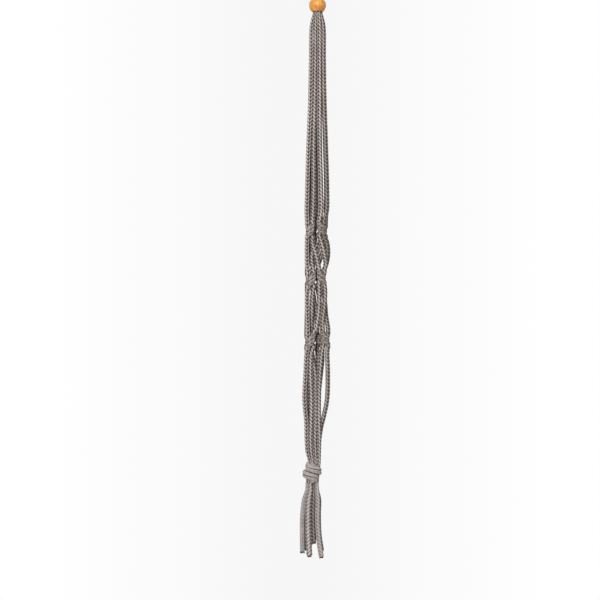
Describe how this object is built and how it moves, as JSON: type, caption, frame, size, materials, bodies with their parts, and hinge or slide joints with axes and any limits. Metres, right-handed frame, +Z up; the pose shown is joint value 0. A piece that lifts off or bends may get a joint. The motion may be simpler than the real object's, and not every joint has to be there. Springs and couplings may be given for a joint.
{
  "type": "hanging macrame planter",
  "caption": "Hanging plant-pot holder of knotted braided cord with a wooden bead at the top and a tassel at the foot.",
  "frame": {"origin": "the inside of the hanging loop's crown, where the hook carries it", "axes": "+Z up along the hanging cords, +X to the viewer's right, +Y away from the viewer"},
  "size_m": [0.0436, 0.025, 0.8695],
  "materials": {
    "braided_cord": "matt braided cord, warm grey",
    "wood_bead": "turned wood under clear varnish"
  },
  "bodies": {
    "hanger": {"loop_cord_1": "braided_cord", "loop_cord_2": "braided_cord", "loop_cord_3": "braided_cord", "loop_cord_4": "braided_cord", "row_1_knot_1_2": "braided_cord", "row_1_knot_3_4": "braided_cord", "row_1_knot_6_5": "braided_cord", "row_1_knot_7_8": "braided_cord", "row_2_knot_1_8": "braided_cord", "row_2_knot_2_3": "braided_cord", "row_2_knot_5_4": "braided_cord", "row_2_knot_7_6": "braided_cord", "row_3_knot_1_2": "braided_cord", "row_3_knot_3_4": "braided_cord", "row_3_knot_6_5": "braided_cord", "row_3_knot_7_8": "braided_cord", "gather_knot": "braided_cord", "strand_1_upper": "braided_cord", "strand_1_row_1_to_2": "braided_cord", "strand_1_row_2_to_3": "braided_cord", "strand_1_lower": "braided_cord", "strand_2_upper": "braided_cord", "strand_2_row_1_to_2": "braided_cord", "strand_2_row_2_to_3": "braided_cord", "strand_2_lower": "braided_cord", "strand_3_upper": "braided_cord", "strand_3_row_1_to_2": "braided_cord", "strand_3_row_2_to_3": "braided_cord", "strand_3_lower": "braided_cord", "strand_4_upper": "braided_cord", "strand_4_row_1_to_2": "braided_cord", "strand_4_row_2_to_3": "braided_cord", "strand_4_lower": "braided_cord", "strand_5_upper": "braided_cord", "strand_5_row_1_to_2": "braided_cord", "strand_5_row_2_to_3": "braided_cord", "strand_5_lower": "braided_cord", "strand_6_upper": "braided_cord", "strand_6_row_1_to_2": "braided_cord", "strand_6_row_2_to_3": "braided_cord", "strand_6_lower": "braided_cord", "strand_7_upper": "braided_cord", "strand_7_row_1_to_2": "braided_cord", "strand_7_row_2_to_3": "braided_cord", "strand_7_lower": "braided_cord", "strand_8_upper": "braided_cord", "strand_8_row_1_to_2": "braided_cord", "strand_8_row_2_to_3": "braided_cord", "strand_8_lower": "braided_cord"},
    "bead": {"bead": "wood_bead"},
    "tail_1": {"strand_1_tail": "braided_cord"},
    "tail_2": {"strand_2_tail": "braided_cord"},
    "tail_3": {"strand_3_tail": "braided_cord"},
    "tail_4": {"strand_4_tail": "braided_cord"},
    "tail_5": {"strand_5_tail": "braided_cord"},
    "tail_6": {"strand_6_tail": "braided_cord"},
    "tail_7": {"strand_7_tail": "braided_cord"},
    "tail_8": {"strand_8_tail": "braided_cord"}
  },
  "joints": [
    {"name": "bead_slide", "type": "slide", "parent": "hanger", "child": "bead", "axis": [0, 0, 1], "range_m": [0, 0.012]},
    {"name": "strand_1_tail_swing", "type": "hinge", "parent": "hanger", "child": "tail_1", "pos_m": [-0.0152, -0.0024, -0.7578], "axis": [0, 1, 0], "range_deg": [0, 35]},
    {"name": "strand_2_tail_swing", "type": "hinge", "parent": "hanger", "child": "tail_2", "pos_m": [-0.0104, -0.0024, -0.7578], "axis": [-1, 0, 0], "range_deg": [0, 35]},
    {"name": "strand_3_tail_swing", "type": "hinge", "parent": "hanger", "child": "tail_3", "pos_m": [-0.0056, -0.0024, -0.7578], "axis": [-1, 0, 0], "range_deg": [0, 35]},
    {"name": "strand_4_tail_swing", "type": "hinge", "parent": "hanger", "child": "tail_4", "pos_m": [-0.0008, -0.0024, -0.7578], "axis": [0, -1, 0], "range_deg": [0, 35]},
    {"name": "strand_5_tail_swing", "type": "hinge", "parent": "hanger", "child": "tail_5", "pos_m": [-0.0008, 0.0024, -0.7578], "axis": [1, 0, 0], "range_deg": [0, 35]},
    {"name": "strand_6_tail_swing", "type": "hinge", "parent": "hanger", "child": "tail_6", "pos_m": [-0.0056, 0.0024, -0.7578], "axis": [1, 0, 0], "range_deg": [0, 35]},
    {"name": "strand_7_tail_swing", "type": "hinge", "parent": "hanger", "child": "tail_7", "pos_m": [-0.0152, 0.0024, -0.7578], "axis": [1, 0, 0], "range_deg": [0, 35]},
    {"name": "strand_8_tail_swing", "type": "hinge", "parent": "hanger", "child": "tail_8", "pos_m": [-0.0104, 0.0024, -0.7578], "axis": [1, 0, 0], "range_deg": [0, 35]}
  ]
}
